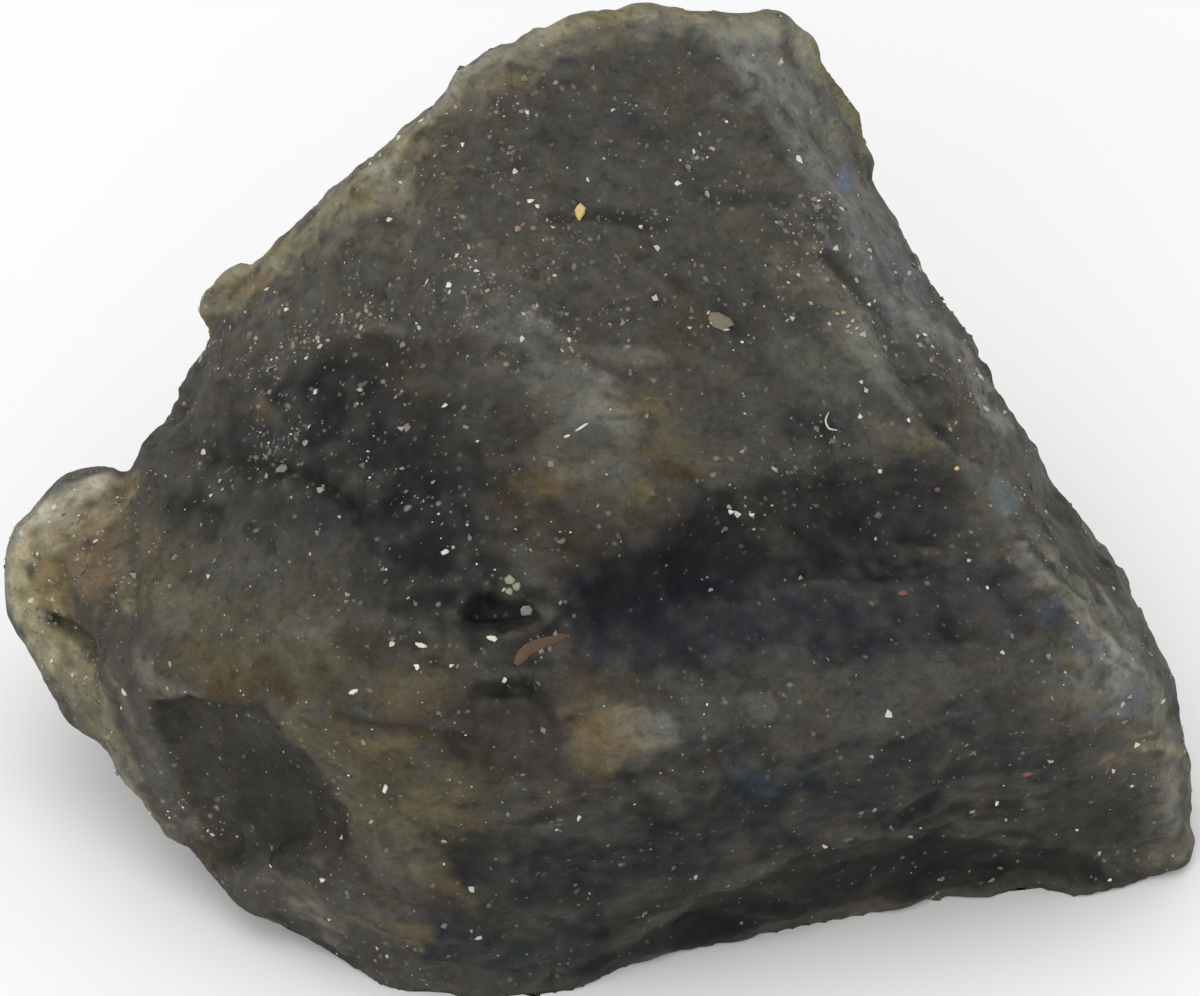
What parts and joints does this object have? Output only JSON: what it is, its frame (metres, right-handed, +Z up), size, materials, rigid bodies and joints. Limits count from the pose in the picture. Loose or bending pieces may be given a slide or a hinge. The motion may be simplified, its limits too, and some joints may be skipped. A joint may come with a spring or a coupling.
{
  "type": "rough stone chunk",
  "caption": "Rough broken chunk of dark feldspar with a sloping upper face, a broken step across it and a flat base to lie on.",
  "frame": {"origin": "middle of the bounding box's base, on the level the stone lies on", "axes": "+X along the stone's longest extent, from the blunt nose to the square corner; +Y to the back, away from the long front face; +Z up from the flat base"},
  "size_m": [0.0504, 0.0358, 0.0302],
  "materials": {
    "labradorite": "rough broken, dull with a faint gloss"
  },
  "bodies": {
    "root": {"labradorite_chunk": "labradorite"}
  },
  "joints": []
}
